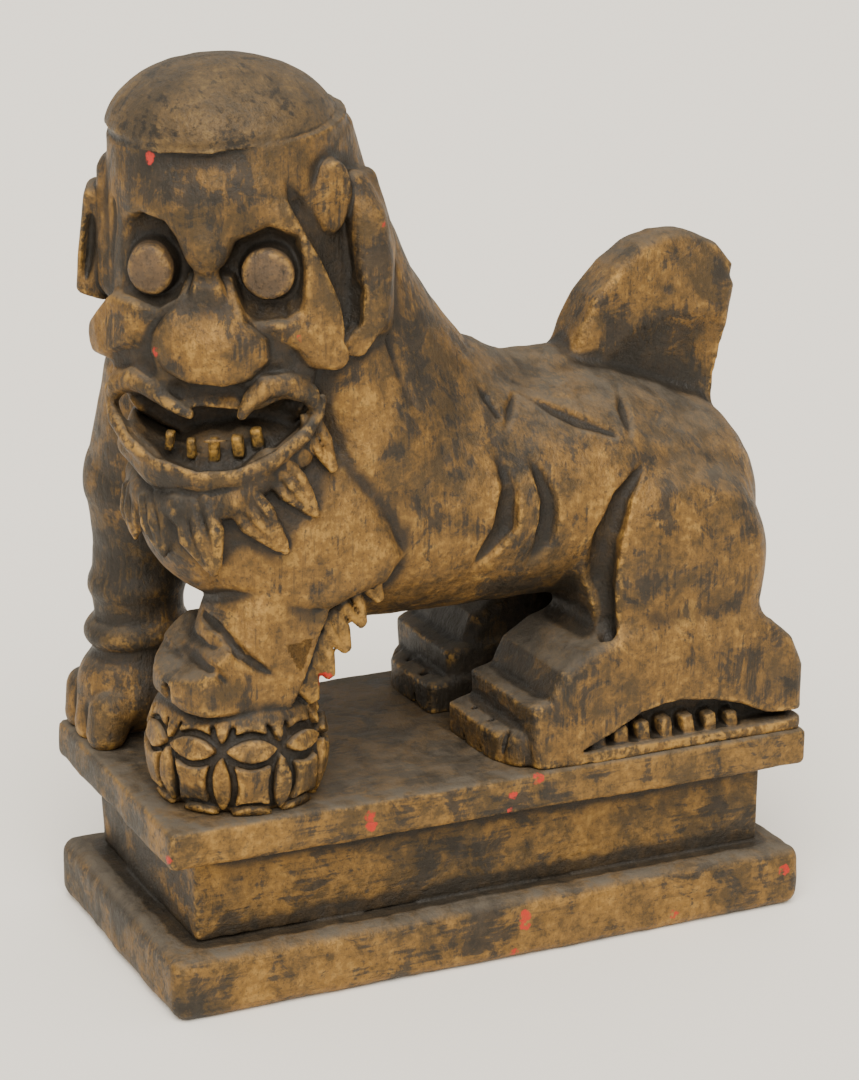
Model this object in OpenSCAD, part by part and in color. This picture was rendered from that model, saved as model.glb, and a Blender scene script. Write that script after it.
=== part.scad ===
// Carved and gilded wooden guardian lion on a waisted plinth.
// +Z is up, the lion walks towards -Y, and its left side is +X.
// The origin is the centre of the plinth's underside. Millimetres.

/* [Plinth] */
// Length of the plinth, front to rear
plinth_l = 129; // [120:1:140]
// Width of the plinth, side to side
plinth_w = 64; // [60:1:80]
// Thickness of the bottom slab
foot_h = 12; // [8:0.5:16]
// Height of the recessed waist
waist_h = 17; // [12:0.5:22]
// Thickness of the top slab
top_h = 7.3; // [5:0.1:10]
// How far the waist is set back from the slabs
waist_in = 6.5; // [4:0.5:10]
// Radius of the slabs' upright corners
corner_r = 3; // [1:0.5:6]

/* [Head] */
// How far the head is turned to the lion's left, degrees
head_turn = 56; // [40:1:70]
// Width across the cheeks
head_w = 41; // [38:1:44]
// Height of the crown dome above its rim
crown_h = 10.5; // [9:0.5:14]
// Diameter of each eye disc
eye_d = 9.4; // [7:0.2:11]
// Number of lower teeth
tooth_count = 5; // [3:1:7]

/* [Body] */
// Diameter of the brocade ball
ball_d = 33; // [28:1:35]
// Number of tufts behind the raised foreleg
leg_tuft_count = 5; // [3:1:6]
// Number of tufts under each heel
heel_tuft_count = 7; // [4:1:8]
// Number of carved cuts on each flank
rib_count = 3; // [1:1:3]

/* [Hidden] */

gilt = "#9a7434";
dark_gilt = "#6f5529";
lacquer = "#3a332a";

deck = foot_h + waist_h + top_h;
head_axis = [8, -44, 0];
ball_at = [15.5, -45.5, deck + 8.2];
eye_x = 9.7;
eye_z = 131;
crown_tilt = 8;
body_fn = 18;
small_fn = 12;
rim_z = 155.4;
rib_y = [-6, 1, 15];
hind_x = [7, 28.5];
tail_r = 7.2;
coin_d = 12;

// ---- shape helpers -------------------------------------------------------

// A ball of radius r at p, stretched by s.
module blob(p, r, s = [1, 1, 1], fn = body_fn) {
    translate(p) scale(s) sphere(r = r, $fn = fn);
}

// Beads [centre, radius] joined one to the next.
module chain(beads, s = [1, 1, 1], fn = body_fn) {
    for (i = [0 : len(beads) - 2]) hull() {
        blob(beads[i][0], beads[i][1], s, fn);
        blob(beads[i + 1][0], beads[i + 1][1], s, fn);
    }
}

// A slab with rounded upright corners.
module rounded_slab(l, w, z0, h, r) {
    translate([0, 0, z0]) union() {
        translate([-w / 2 + r, -l / 2, 0]) cube([w - 2 * r, l, h]);
        translate([-w / 2, -l / 2 + r, 0]) cube([w, l - 2 * r, h]);
        for (x = [-1, 1], y = [-1, 1])
            translate([x * (w / 2 - r), y * (l / 2 - r), 0]) cylinder(r = r, h = h, $fn = 64);
    }
}

// The head's own frame: -Y is where it looks, +X its left.
module in_head() {
    translate(head_axis) rotate([0, 0, head_turn]) children();
}

// Left side as drawn, right side mirrored.
module on_side(s) {
    if (s > 0) children();
    else mirror([1, 0, 0]) children();
}

// Trims a mass to the block that the figure was cut from.
module in_block() {
    intersection() {
        children();
        translate([-plinth_w / 2, -plinth_l / 2, deck]) cube([plinth_w, plinth_l, 130]);
    }
}

// ---- masses: whole shapes that the nodes are trimmed from ----------------

module trunk_mass() {
    chain([[[0, -26, 84], 22], [[0, 0, 84.5], 22.5], [[0, 24, 84.5], 22.5], [[0, 43.5, 75.5], 21]],
        [1.27, 1, 1]);
}

module neck_mass() {
    chain([[[2, -34, 133], 21.5], [[0, -25, 112], 23], [[0, -12, 98], 22]]);
}

module haunch_mass() {
    hull() {
        blob([22, 37, 73], 15.5, [0.6, 1, 1]);
        blob([22, 39.5, 67], 14.5, [0.6, 1, 1]);
        blob([10, 43, 72], 19);
    }
}

// The hind foot runs from toes to hock along the deck, its outer side flat.
module hind_foot_mass() {
    in_block() hull() for (x = hind_x) {
        blob([x, 8.5, 40], 2.5, fn = small_fn);
        blob([x, 9, 44], 2.5, fn = small_fn);
        blob([x, 15, 54], 2.5, fn = small_fn);
        blob([x, 50, 60], 2.5, fn = small_fn);
        blob([x, 58, 56.5], 2.5, fn = small_fn);
        blob([x, 61.8, 50], 2.5, fn = small_fn);
        blob([x, 61.8, 38], 2.5, fn = small_fn);
    }
}

// Two bands across the shin and three toes.
module hind_toe_mass() {
    for (p = [[9.5, 50], [6.5, 44]]) hull() for (x = hind_x)
        blob([x - 2, p[0], p[1]], 3.2, fn = small_fn);
    in_block() for (x = [13, 19.5, 26]) hull() {
        blob([x, 0.5, 39.5], 3.4, fn = small_fn);
        blob([x, 8, 40], 3.4, fn = small_fn);
    }
}

module shoulder_mass() {
    hull() {
        blob([19, -37, 97], 10);
        blob([21, -28, 83], 9);
        blob([20, -39, 79], 9);
        blob([16, -51, 86], 10);
        blob([6, -44, 90], 14);
    }
}

module foreleg_mass() {
    chain([[[19, -36, 77], 10], [[19, -38, 63], 9.5]]);
}

module forepaw_mass() {
    chain([[[17.5, -37, 58], 8.5], [[16, -48, 57.5], 8], [[14.5, -55.5, 55], 6.5]], [1.15, 1, 1]);
}

module right_foreleg_mass() {
    in_block() union() {
        chain([[[-13, -42, 98], 16], [[-19, -50, 84], 11.5], [[-20, -53, 68], 9], [[-20, -54, 54], 8]]);
        for (z = [66, 59]) blob([-20, -53.5, z], 10, [1, 1, 0.38]);
    }
}

module right_forepaw_mass() {
    in_block() union() {
        chain([[[-20, -53, 47], 9.5], [[-20, -55, 43], 9]], [1.1, 1, 1]);
        for (x = [-26.5, -20, -13.5]) blob([x, -59.5, 41], 4.8, fn = small_fn);
    }
}

module ball_mass() {
    in_block() translate(ball_at) sphere(d = ball_d, $fn = 40);
}

// The tail stands up as a thick leaf.
module tail_mass() {
    for (p = [[[32, 107], [39, 118]], [[39, 118], [48, 121.5]], [[48, 121.5], [52.5, 116]]]) hull() {
        blob([0, p[0][0], p[0][1]], tail_r);
        blob([0, p[1][0], p[1][1]], tail_r);
        blob([0, 49, 100], tail_r + 1);
    }
}

module head_mass() {
    in_head() hull() for (x = [-1, 1]) {
        blob([x * (head_w / 2 - 8), -9, 148], 8);
        blob([x * (head_w / 2 - 8), 10, 152], 8);
        blob([x * (head_w / 2 - 7.5), -7, 118], 7.5);
        blob([x * (head_w / 2 - 8), 10, 116], 8);
        blob([x * 9, -6, 106], 8);
        blob([x * 9, 8, 106], 9);
    }
}

module crown_mass() {
    in_head() translate([-1, 1, rim_z]) rotate([crown_tilt, 0, 0]) intersection() {
        scale([1, 1, crown_h / 20]) sphere(r = 20, $fn = 36);
        translate([-30, -30, 0]) cube([60, 60, 40]);
    }
}

module crown_seat() {
    in_head() translate([-1, 1, rim_z]) rotate([crown_tilt, 0, 0]) translate([-40, -40, 0]) cube([80, 80, 40]);
}

module left_ear_mass() {
    in_head() chain([[[20.5, -6, 141], 4.2], [[20.5, -5, 137], 3.6], [[20.5, 3, 132], 3.2],
        [[20, 5, 122], 3], [[19, 2, 115], 2.6]], fn = small_fn);
}

module right_ear_mass() {
    in_head() chain([[[-20.5, -3, 142], 3.4], [[-21.5, -1, 134], 3.6], [[-20.5, 0, 125], 3]],
        fn = small_fn);
}

module eye_mass(s) {
    in_head() translate([s * eye_x, -11, eye_z]) rotate([90, 0, 0]) cylinder(d = eye_d, h = 6.5, $fn = 40);
}

module nose_mass() {
    in_head() hull() {
        blob([0, -14, 130], 3.2, fn = small_fn);
        for (x = [-5, 0, 5]) blob([x, -18 + abs(x) / 5, 117.5], 3.6, fn = small_fn);
    }
}

module upper_lip_mass() {
    in_head() for (x = [-1, 1])
        chain([[[x * 2, -16, 110], 2.6], [[x * 8, -16.5, 111.5], 3.2], [[x * 14, -11, 108], 3.2],
            [[x * 11, -13.5, 105], 2.2]], fn = small_fn);
}

module jaw_mass() {
    in_head() difference() {
        hull() {
            for (x = [-1, 1]) {
                blob([x * 14, -5, 103], 4);
                blob([x * 9, -14, 98.5], 4.5);
            }
            blob([0, -17, 97], 4.5);
            blob([0, -8, 96], 6);
        }
        hull() {
            for (x = [-9, 9]) blob([x, -10, 107], 3, fn = small_fn);
            blob([0, -13, 104.5], 3, fn = small_fn);
        }
    }
}

module teeth_mass() {
    span = 100;
    in_head() for (i = [0 : tooth_count - 1]) {
        a = -span / 2 + i * span / (tooth_count - 1);
        translate([11 * sin(a), -3 - 11.5 * cos(a), 100.5]) rotate([0, 0, a])
            translate([-1.3, -0.9, 0]) cube([2.6, 1.8, 4.2]);
    }
}

// Leaf-shaped tufts that hang from the chin over the chest.
beard_tufts = [[[2, -60, 90], [0, -59, 80]], [[10, -61, 90], [10, -61, 78]], [[17, -58, 91], [18, -58, 79]],
    [[23, -52, 92], [25, -51, 81]], [[27, -44, 96], [28, -43, 87]]];

module beard_mass() {
    for (t = beard_tufts) hull() {
        blob(t[0], 4.6, fn = small_fn);
        blob(t[1], 1.8, fn = small_fn);
    }
}

// Tufts up the rear of the raised foreleg.
module leg_fringe_mass() {
    for (i = [0 : leg_tuft_count - 1]) {
        t = i / (leg_tuft_count - 1);
        hull() {
            blob([20, -31 + 4 * t, 60 + 17 * t], 3.2, [2, 1, 0.8], fn = small_fn);
            blob([23, -26 + 4 * t, 61 + 17 * t], 1.4, [2, 1, 1], fn = small_fn);
        }
    }
}

// Knobs in the hollow under a heel.
module heel_fringe_mass() {
    for (i = [0 : heel_tuft_count - 1]) {
        t = i / (heel_tuft_count - 1);
        hull() {
            blob([26, 18 + 30 * t, 38.6], 2, fn = small_fn);
            blob([27.5, 18.5 + 30 * t, 40.5 + 2 * sin(180 * t)], 1.9, fn = small_fn);
        }
    }
}

// The lens-shaped hollow that the knobs stand in.
module heel_hollow() {
    for (i = [0 : 5]) hull() for (k = [i, i + 1])
        blob([30, 14 + 7 * k, 38 + 4.6 * sin(30 * k)], 3, [1.5, 1, 1], fn = small_fn);
}

// Curved cuts that mark the ribs.
module rib_cuts() {
    for (s = [-1, 1], i = [0 : rib_count - 1]) on_side(s)
        translate([0, rib_y[i], 86]) rotate([-16, 0, 0]) scale([1, 0.1, 0.62])
            translate([27.5, 0, 0]) sphere(r = 15, $fn = small_fn);
}

// ---- nodes ----------------------------------------------------------------

module plinth_foot() {
    color(gilt) rounded_slab(plinth_l, plinth_w, 0, foot_h, corner_r);
}

module plinth_waist() {
    color(dark_gilt) rounded_slab(plinth_l - 2 * waist_in, plinth_w - 2 * waist_in, foot_h, waist_h, 1);
}

module plinth_top() {
    color(gilt) rounded_slab(plinth_l, plinth_w - 1, foot_h + waist_h, top_h, corner_r);
}

module heel_fringe(s) {
    color(lacquer) on_side(s) in_block() heel_fringe_mass();
}

module left_heel_fringe() {
    heel_fringe(1);
}

module right_heel_fringe() {
    heel_fringe(-1);
}

module trunk() {
    color(gilt) difference() {
        trunk_mass();
        rib_cuts();
        neck_mass();
        tail_mass();
        shoulder_mass();
        foreleg_mass();
        right_foreleg_mass();
        leg_fringe_mass();
        for (s = [-1, 1]) on_side(s) haunch_mass();
    }
}

module haunch(s) {
    color(gilt) on_side(s) difference() {
        haunch_mass();
        translate([-60, 0, 0]) cube([61, 90, 120]);
    }
}

module left_haunch() {
    haunch(1);
}

module right_haunch() {
    haunch(-1);
}

module hind_foot(s) {
    color(gilt) difference() {
        on_side(s) union() {
            hind_foot_mass();
            hind_toe_mass();
        }
        trunk_mass();
        on_side(s) haunch_mass();
        on_side(s) heel_hollow();
    }
}

module left_hind_foot() {
    hind_foot(1);
}

module right_hind_foot() {
    hind_foot(-1);
}

module left_shoulder() {
    color(gilt) difference() {
        shoulder_mass();
        neck_mass();
        right_foreleg_mass();
        head_mass();
        jaw_mass();
        foreleg_mass();
        leg_fringe_mass();
        beard_mass();
    }
}

module left_foreleg() {
    color(gilt) difference() {
        foreleg_mass();
        forepaw_mass();
        leg_fringe_mass();
        ball_mass();
    }
}

module left_forepaw() {
    color(gilt) difference() {
        union() {
            forepaw_mass();
            for (x = [9, 14.5, 20]) blob([x, -59, 55], 3.8, fn = small_fn);
        }
        ball_mass();
        leg_fringe_mass();
    }
}

module right_foreleg() {
    color(gilt) difference() {
        right_foreleg_mass();
        neck_mass();
        head_mass();
        jaw_mass();
        beard_mass();
        right_forepaw_mass();
    }
}

module right_forepaw() {
    color(gilt) difference() {
        right_forepaw_mass();
        ball_mass();
    }
}

module foreleg_fringe() {
    color(dark_gilt) difference() {
        leg_fringe_mass();
        ball_mass();
    }
}

// The ball carries a net of round coins, cut as shallow rings.
module brocade_ball() {
    color(dark_gilt) difference() {
        ball_mass();
        for (a = [-75 : 50 : 225]) translate(ball_at) rotate([0, 0, a])
            translate([0, -ball_d / 2 - 2, 0]) rotate([90, 0, 0]) difference() {
                cylinder(d = coin_d, h = 8, center = true, $fn = 32);
                cylinder(d = coin_d - 2, h = 10, center = true, $fn = 32);
            }
    }
}

module neck_mane() {
    color(gilt) difference() {
        neck_mass();
        head_mass();
        crown_seat();
        left_ear_mass();
        jaw_mass();
    }
}

module head() {
    color(gilt) difference() {
        head_mass();
        crown_seat();
        left_ear_mass();
        right_ear_mass();
        for (s = [-1, 1]) {
            eye_mass(s);
            in_head() hull() {
                blob([s * eye_x, -17, eye_z], 6.6, fn = small_fn);
                blob([s * (eye_x - 3), -17, eye_z - 2], 5, fn = small_fn);
            }
        }
        nose_mass();
        upper_lip_mass();
        jaw_mass();
        teeth_mass();
        in_head() hull() for (x = [-9, 9]) blob([x, -14, 104.5], 4, fn = small_fn);
    }
}

module crown() {
    color(lacquer) crown_mass();
}

module left_ear() {
    color(gilt) left_ear_mass();
}

module right_ear() {
    color(gilt) right_ear_mass();
}

module left_eye() {
    color(dark_gilt) eye_mass(1);
}

module right_eye() {
    color(dark_gilt) eye_mass(-1);
}

module nose() {
    color(gilt) nose_mass();
}

module upper_lip() {
    color(gilt) difference() {
        upper_lip_mass();
        nose_mass();
        jaw_mass();
    }
}

module lower_jaw() {
    color(gilt) difference() {
        jaw_mass();
        teeth_mass();
    }
}

module teeth() {
    color(gilt) teeth_mass();
}

module beard() {
    color(gilt) difference() {
        beard_mass();
        jaw_mass();
        head_mass();
        neck_mass();
    }
}

module tail() {
    color(gilt) tail_mass();
}

plinth_foot();
plinth_waist();
plinth_top();
left_heel_fringe();
right_heel_fringe();
trunk();
left_haunch();
right_haunch();
left_hind_foot();
right_hind_foot();
left_shoulder();
left_foreleg();
left_forepaw();
right_foreleg();
right_forepaw();
foreleg_fringe();
brocade_ball();
neck_mane();
head();
crown();
left_ear();
right_ear();
left_eye();
right_eye();
nose();
upper_lip();
lower_jaw();
teeth();
beard();
tail();
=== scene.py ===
"""Carved and gilded wooden guardian lion on its plinth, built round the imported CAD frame.

The carving is sculpted as distance fields, in millimetres, in the frame's own axes: +Z up, the lion walks
towards -Y and its left side is +X. Every piece is cut from one continuous skin, so neighbours meet cleanly.
"""
import functools
import math

import bpy
import numpy as np
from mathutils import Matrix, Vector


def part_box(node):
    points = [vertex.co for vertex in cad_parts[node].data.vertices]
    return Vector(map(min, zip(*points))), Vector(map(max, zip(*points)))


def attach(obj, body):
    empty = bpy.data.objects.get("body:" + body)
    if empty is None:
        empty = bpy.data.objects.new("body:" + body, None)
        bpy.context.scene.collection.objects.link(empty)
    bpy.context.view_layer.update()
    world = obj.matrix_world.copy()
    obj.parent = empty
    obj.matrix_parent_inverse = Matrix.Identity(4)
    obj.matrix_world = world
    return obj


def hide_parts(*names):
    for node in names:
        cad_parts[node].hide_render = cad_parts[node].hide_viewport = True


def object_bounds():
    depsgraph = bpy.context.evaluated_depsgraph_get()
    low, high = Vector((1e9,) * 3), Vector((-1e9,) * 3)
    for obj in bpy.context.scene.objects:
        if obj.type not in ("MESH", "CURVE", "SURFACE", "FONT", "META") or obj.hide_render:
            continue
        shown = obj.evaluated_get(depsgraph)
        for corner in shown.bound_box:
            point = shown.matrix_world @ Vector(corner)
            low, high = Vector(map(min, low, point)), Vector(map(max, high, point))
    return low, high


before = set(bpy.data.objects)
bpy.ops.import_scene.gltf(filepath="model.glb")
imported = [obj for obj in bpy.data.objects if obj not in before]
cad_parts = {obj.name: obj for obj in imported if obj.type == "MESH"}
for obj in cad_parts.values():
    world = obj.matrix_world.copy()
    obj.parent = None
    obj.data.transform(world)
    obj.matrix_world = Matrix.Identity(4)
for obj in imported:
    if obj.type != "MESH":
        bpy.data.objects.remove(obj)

import openvdb
from mathutils import Matrix, Vector


def as_list(box):
    """A box as plain numbers."""
    return [[float(v) for v in corner] for corner in box]


cad_bounds = as_list(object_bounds())

MM = 0.001
FINE = 0.4        # sample spacing on the head, mm
MEDIUM = 0.5      # on body, legs and ball
COARSE = 0.6      # on the plinth
FAR = 40.0                          # distance that stands for "nowhere near"
REACH = 4.0                         # how far past its own box a shape still matters


def mm_box(node):
    """A CAD node's box in millimetres."""
    low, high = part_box(node)
    return np.array(low) / MM, np.array(high) / MM


FOOT_LOW, FOOT_HIGH = mm_box("plinth_foot")
WAIST_LOW, WAIST_HIGH = mm_box("plinth_waist")
TOP_LOW, TOP_HIGH = mm_box("plinth_top")
DECK = float(TOP_HIGH[2])


# ---- distance shapes

class Shape:
    """A solid given by its box and a function that returns signed distance in mm."""

    def __init__(self, low, high, distance):
        self.low = np.array(low, float)
        self.high = np.array(high, float)
        self.distance = distance


def smooth_min(a, b, k):
    """The smaller of two distances, rounded over k mm."""
    h = np.maximum(k - np.abs(a - b), 0.0) / k
    return np.minimum(a, b) - h * h * (k * 0.25)


def smooth_max(a, b, k):
    """The larger of two distances, rounded over k mm."""
    return -smooth_min(-a, -b, k)


def turned(turn):
    """Rotation matrix for turns in degrees about X, then Y, then Z."""
    ax, ay, az = (math.radians(t) for t in turn)
    rx = np.array([[1, 0, 0], [0, math.cos(ax), -math.sin(ax)], [0, math.sin(ax), math.cos(ax)]])
    ry = np.array([[math.cos(ay), 0, math.sin(ay)], [0, 1, 0], [-math.sin(ay), 0, math.cos(ay)]])
    rz = np.array([[math.cos(az), -math.sin(az), 0], [math.sin(az), math.cos(az), 0], [0, 0, 1]])
    return rz @ ry @ rx


def local(at, turn):
    """Function from world coordinates to a shape's own."""
    if turn is None:
        return lambda x, y, z: (x - at[0], y - at[1], z - at[2])
    m = turned(turn).T

    def move(x, y, z):
        x, y, z = x - at[0], y - at[1], z - at[2]
        return (m[0, 0] * x + m[0, 1] * y + m[0, 2] * z, m[1, 0] * x + m[1, 1] * y + m[1, 2] * z,
                m[2, 0] * x + m[2, 1] * y + m[2, 2] * z)
    return move


def spread(at, half, turn):
    """Box of a turned shape with half sizes half."""
    reach = np.array(half, float) if turn is None else np.abs(turned(turn)) @ np.array(half, float)
    return np.array(at) - reach, np.array(at) + reach


def rounded(sides, rounding):
    """Distance to a form with rounded edges, from the distances to its sides less the rounding."""
    outside = np.sqrt(sum(np.maximum(side, 0) ** 2 for side in sides))
    return outside + np.minimum(functools.reduce(np.maximum, sides), 0) - rounding


def egg(at, radii, turn=None):
    """Ellipsoid."""
    move = local(at, turn)
    r = radii

    def distance(x, y, z):
        x, y, z = move(x, y, z)
        a = np.sqrt((x / r[0]) ** 2 + (y / r[1]) ** 2 + (z / r[2]) ** 2)
        b = np.sqrt((x / r[0] ** 2) ** 2 + (y / r[1] ** 2) ** 2 + (z / r[2] ** 2) ** 2)
        return a * (a - 1.0) / np.maximum(b, 1e-6)
    return Shape(*spread(at, r, turn), distance)


def brick(at, half, rounding=1.0, turn=None):
    """Box with rounded edges."""
    move = local(at, turn)

    def distance(x, y, z):
        x, y, z = move(x, y, z)
        return rounded([np.abs(a) - (h - rounding) for a, h in zip((x, y, z), half)], rounding)
    return Shape(*spread(at, half, turn), distance)


def drum(at, radii, half, rounding=0.6, turn=None):
    """Round or oval disc whose axis is its own Y."""
    move = local(at, turn)

    def distance(x, y, z):
        x, y, z = move(x, y, z)
        mean = (radii[0] + radii[1]) / 2
        across = (np.sqrt((x / radii[0]) ** 2 + (z / radii[1]) ** 2) - 1.0) * mean + rounding
        along = np.abs(y) - half + rounding
        return rounded((across, along), rounding)
    return Shape(*spread(at, (radii[0], half, radii[1]), turn), distance)


def limb(points, radii, wide=1.0):
    """Beads joined into a tapering rod. wide stretches it sideways about its first bead."""
    p = np.array(points, float)
    r = np.array(radii, float)
    middle = p[0, 0]
    p = p.copy()
    low = (p - r[:, None]).min(0)
    high = (p + r[:, None]).max(0)
    low[0], high[0] = middle + (low[0] - middle) * wide, middle + (high[0] - middle) * wide

    def distance(x, y, z):
        x = (x - middle) / wide + middle
        best = None
        for i in range(len(p) - 1):
            a, b = p[i], p[i + 1]
            along = b - a
            t = ((x - a[0]) * along[0] + (y - a[1]) * along[1] + (z - a[2]) * along[2]) / (along @ along)
            t = np.clip(t, 0, 1)
            d = np.sqrt((x - a[0] - t * along[0]) ** 2 + (y - a[1] - t * along[1]) ** 2
                        + (z - a[2] - t * along[2]) ** 2) - (r[i] + (r[i + 1] - r[i]) * t)
            best = d if best is None else np.minimum(best, d)
        return best
    return Shape(low, high, distance)


def outline_distance(u, v, outline):
    """Signed distance in a plane to a closed outline."""
    best = None
    inside = None
    n = len(outline)
    for i in range(n):
        ax, ay = outline[i]
        bx, by = outline[(i + 1) % n]
        ex, ey = bx - ax, by - ay
        t = np.clip(((u - ax) * ex + (v - ay) * ey) / (ex * ex + ey * ey), 0, 1)
        d = (u - ax - t * ex) ** 2 + (v - ay - t * ey) ** 2
        best = d if best is None else np.minimum(best, d)
        crosses = ((ay > v) != (by > v)) & (u < (bx - ax) * (v - ay) / (by - ay if by != ay else 1e-9) + ax)
        inside = crosses if inside is None else inside ^ crosses
    return np.sqrt(best) * np.where(inside, -1.0, 1.0)


def slab(outline, x0, x1, rounding=1.0):
    """A side-on outline of (y, z) points, given thickness from x0 to x1."""
    pts = np.array(outline, float)

    def distance(x, y, z):
        flat = outline_distance(y, z, outline) + rounding
        across = np.abs(x - (x0 + x1) / 2) - (x1 - x0) / 2 + rounding
        return rounded((flat, across), rounding)
    return Shape((x0, *pts.min(0)), (x1, *pts.max(0)), distance)


def half_space(normal, offset):
    """Everything on the inner side of a plane."""
    n = np.array(normal, float) / np.linalg.norm(normal)
    return Shape((-200,) * 3, (200,) * 3, lambda x, y, z: n[0] * x + n[1] * y + n[2] * z - offset)


def as_drawn(shape):
    """The shape itself, where another might be mirrored or turned."""
    return shape


def mirrored(shape):
    """The same shape on the lion's other side."""
    low, high = shape.low.copy(), shape.high.copy()
    low[0], high[0] = -shape.high[0], -shape.low[0]
    return Shape(low, high, lambda x, y, z: shape.distance(-x, y, z))


HEAD_AXIS = (8.0, -44.0)
HEAD_TURN = math.radians(56)


def in_head(shape):
    """Places a shape drawn in the head's frame: -Y is where the head looks, +X its left."""
    c, s = math.cos(HEAD_TURN), math.sin(HEAD_TURN)
    corners = np.array([(x, y) for x in (shape.low[0], shape.high[0]) for y in (shape.low[1], shape.high[1])])
    world = np.stack([HEAD_AXIS[0] + c * corners[:, 0] - s * corners[:, 1],
                      HEAD_AXIS[1] + s * corners[:, 0] + c * corners[:, 1]], 1)
    low = (*world.min(0), shape.low[2])
    high = (*world.max(0), shape.high[2])

    def distance(x, y, z):
        x, y = x - HEAD_AXIS[0], y - HEAD_AXIS[1]
        return shape.distance(c * x + s * y, c * y - s * x, z)
    return Shape(low, high, distance)


# ---- sculpting

class Grid:
    """A block of space sampled every step millimetres, on a lattice shared by all blocks of that step."""

    def __init__(self, low, high, step):
        self.step = step
        self.first = np.floor(np.array(low, float) / step).astype(int)
        self.count = np.ceil(np.array(high, float) / step).astype(int) - self.first + 1

    def window(self, low, high):
        """Index range of the samples inside a box, or None."""
        a = np.maximum(np.floor(np.array(low) / self.step).astype(int) - self.first, 0)
        b = np.minimum(np.ceil(np.array(high) / self.step).astype(int) - self.first + 1, self.count)
        return None if np.any(b <= a) else tuple(slice(int(i), int(j)) for i, j in zip(a, b))

    def places(self, window):
        """Coordinates of a window's samples, shaped to broadcast."""
        out = []
        for axis, part in enumerate(window):
            values = (self.first[axis] + np.arange(part.start, part.stop)) * self.step
            shape = [1, 1, 1]
            shape[axis] = -1
            out.append(values.astype(np.float32).reshape(shape))
        return out


class Piece:
    """One carved element: shapes added, cut and kept, in order. place puts each shape where it belongs."""

    def __init__(self, name, slot, blend=1.0, place=as_drawn):
        self.name = name
        self.slot = slot
        self.blend = blend
        self.place = place
        self.steps = []

    def add(self, shape, k=1.0):
        self.steps.append(("add", self.place(shape), k))

    def cut(self, shape, k=0.6):
        self.steps.append(("cut", self.place(shape), k))

    def keep(self, shape, k=0.6):
        self.steps.append(("keep", self.place(shape), k))

    def box(self):
        adds = [s for kind, s, _ in self.steps if kind == "add"]
        return np.min([s.low for s in adds], 0) - REACH, np.max([s.high for s in adds], 0) + REACH

    def field(self, grid):
        """(window, distances) of this piece alone on a grid."""
        window = grid.window(*self.box())
        if window is None:
            return None
        part = Grid((0, 0, 0), (1, 1, 1), grid.step)
        part.first = grid.first + np.array([w.start for w in window])
        part.count = np.array([w.stop - w.start for w in window])
        d = np.full(part.count, FAR, np.float32)
        for kind, shape, k in self.steps:
            inner = part.window(shape.low - REACH, shape.high + REACH)
            if kind == "keep":
                inner = tuple(slice(0, int(n)) for n in part.count)
            if inner is None:
                continue
            s = shape.distance(*part.places(inner)).astype(np.float32)
            if kind == "add":
                d[inner] = smooth_min(d[inner], s, k)
            elif kind == "cut":
                d[inner] = smooth_max(d[inner], -s, k)
            else:
                d[inner] = smooth_max(d[inner], s, k)
        return window, d


NOISE_START = (-45, -75, -5)     # a corner outside every grid, mm
NOISE_SPAN = (90, 150, 190)      # the room that the noise fills from there, mm


def lattice_noise(grid, window, cell, seed):
    """Smooth noise between -1 and 1 with bumps about cell mm wide; cell may differ along each axis."""
    cell = np.broadcast_to(np.array(cell, float), 3)
    size = np.ceil(np.array(NOISE_SPAN) / cell).astype(int) + 4
    values = np.random.RandomState(seed).uniform(-1, 1, size).astype(np.float32)
    for axis, part in enumerate(window):
        where = (grid.first[axis] + np.arange(part.start, part.stop)) * grid.step
        t = (where - NOISE_START[axis]) / cell[axis] + 1
        i = np.floor(t).astype(int)
        f = (t - i).astype(np.float32)
        f = f * f * (3 - 2 * f)
        shape = [1, 1, 1]
        shape[axis] = -1
        f = f.reshape(shape)
        values = np.take(values, i, axis) * (1 - f) + np.take(values, i + 1, axis) * f
    return values


def blurred(values, reach):
    """Box blur, twice, along each axis."""
    for axis in range(3):
        for _ in range(2):
            pad = [(0, 0)] * 3
            pad[axis] = (reach + 1, reach)
            total = np.cumsum(np.pad(values, pad, mode="edge"), axis=axis, dtype=np.float32)
            ahead = np.take(total, range(2 * reach + 1, total.shape[axis]), axis)
            behind = np.take(total, range(0, total.shape[axis] - 2 * reach - 1), axis)
            values = (ahead - behind) / (2 * reach + 1)
    return values


def sampled(values, points):
    """Trilinear samples of a block at points given in index units."""
    top = np.array(values.shape) - 1.001
    p = np.clip(points, 0, top)
    i = p.astype(int)
    f = (p - i).astype(np.float32)
    out = 0.0
    for dx in (0, 1):
        for dy in (0, 1):
            for dz in (0, 1):
                w = (f[:, 0] if dx else 1 - f[:, 0]) * (f[:, 1] if dy else 1 - f[:, 1])
                w = w * (f[:, 2] if dz else 1 - f[:, 2])
                out = out + w * values[i[:, 0] + dx, i[:, 1] + dy, i[:, 2] + dz]
    return out


SEAM_DEPTH = 0.08      # how far below the skin a piece's hidden tongue lies, mm
SEAM_REACH = 1.2       # how far the tongue runs under its neighbour, mm
MARGIN = 0.02          # how far the skin stays inside the CAD's box, mm
EDGE_BLUR = 0.8        # how wide the attribute "edge" looks for corners, mm
HOLLOW_BLUR = 2.6      # how wide the attribute "hollow" looks for hollows, mm


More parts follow.
